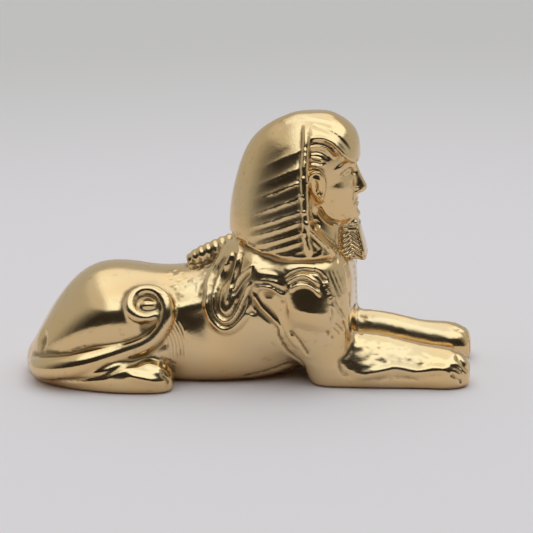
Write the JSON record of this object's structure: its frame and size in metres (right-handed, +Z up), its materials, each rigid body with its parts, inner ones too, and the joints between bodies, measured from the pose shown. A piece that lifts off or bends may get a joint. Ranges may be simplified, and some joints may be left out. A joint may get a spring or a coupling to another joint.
{
  "type": "sphinx statue",
  "caption": "Small cast brass sphinx lying with outstretched forelegs, in a pleated headcloth and false beard, its tail curled on the right haunch.",
  "frame": {"origin": "on the table, under the middle of the figure's outline", "axes": "+X the way the sphinx looks and its forelegs point, +Y its left side, +Z up; the tail curls on the -Y side"},
  "size_m": [0.06, 0.0238, 0.0354],
  "materials": {
    "polished_brass": "solid cast brass, hand polished to a soft mirror, slightly duller and warmer in the hollows, with faint casting pits and layer ridges left on the flank"
  },
  "bodies": {
    "root": {"sphinx": "polished_brass"}
  },
  "joints": []
}
